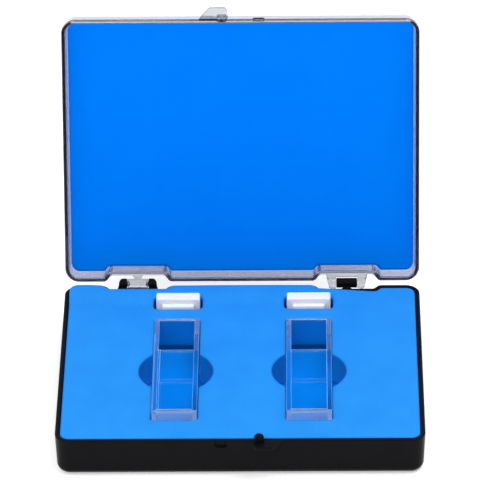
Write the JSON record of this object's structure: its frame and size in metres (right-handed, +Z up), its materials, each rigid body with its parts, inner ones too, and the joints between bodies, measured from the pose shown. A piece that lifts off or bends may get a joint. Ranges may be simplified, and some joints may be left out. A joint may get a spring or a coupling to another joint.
{
  "type": "cuvette pair in hinged storage case",
  "caption": "Hinged storage case, clear lid open, with blue die-cut foam holding square glass cuvettes and white plug stoppers.",
  "frame": {"origin": "centre of the underside of the base", "axes": "+Z up, +X along the case's width to the viewer's right, +Y from the latch side to the hinge side"},
  "size_m": [0.101, 0.111, 0.0886],
  "materials": {
    "black_plastic": "satin",
    "clear_plastic": "gloss",
    "tray_foam": "matte",
    "backing_foam": "matte",
    "liner_foam": "matte",
    "optical_glass": "polished",
    "ptfe": "satin"
  },
  "bodies": {
    "base": {"base_shell": "black_plastic", "tray_foam": "tray_foam", "tray_backing": "backing_foam"},
    "lid": {"lid_shell": "clear_plastic", "lid_liner": "liner_foam"},
    "cuvette_left": {"cuvette_left_top_window": "optical_glass", "cuvette_left_bottom_window": "optical_glass", "cuvette_left_inner_wall": "optical_glass", "cuvette_left_outer_wall": "optical_glass", "cuvette_left_end_plate": "optical_glass"},
    "cuvette_right": {"cuvette_right_top_window": "optical_glass", "cuvette_right_bottom_window": "optical_glass", "cuvette_right_inner_wall": "optical_glass", "cuvette_right_outer_wall": "optical_glass", "cuvette_right_end_plate": "optical_glass"},
    "stopper_left": {"stopper_left": "ptfe"},
    "stopper_right": {"stopper_right": "ptfe"}
  },
  "joints": [
    {"name": "lid_hinge", "type": "hinge", "parent": "base", "child": "lid", "pos_m": [0, 0.03885, 0.0121], "axis": [-1, 0, 0], "range_deg": [-108, 0]},
    {"name": "cuvette_left_lift", "type": "slide", "parent": "base", "child": "cuvette_left", "axis": [0, 0, 1], "range_m": [0, 0.03]},
    {"name": "cuvette_right_lift", "type": "slide", "parent": "base", "child": "cuvette_right", "axis": [0, 0, 1], "range_m": [0, 0.03]},
    {"name": "stopper_left_lift", "type": "slide", "parent": "base", "child": "stopper_left", "axis": [0, 0, 1], "range_m": [0, 0.03]},
    {"name": "stopper_right_lift", "type": "slide", "parent": "base", "child": "stopper_right", "axis": [0, 0, 1], "range_m": [0, 0.03]}
  ]
}
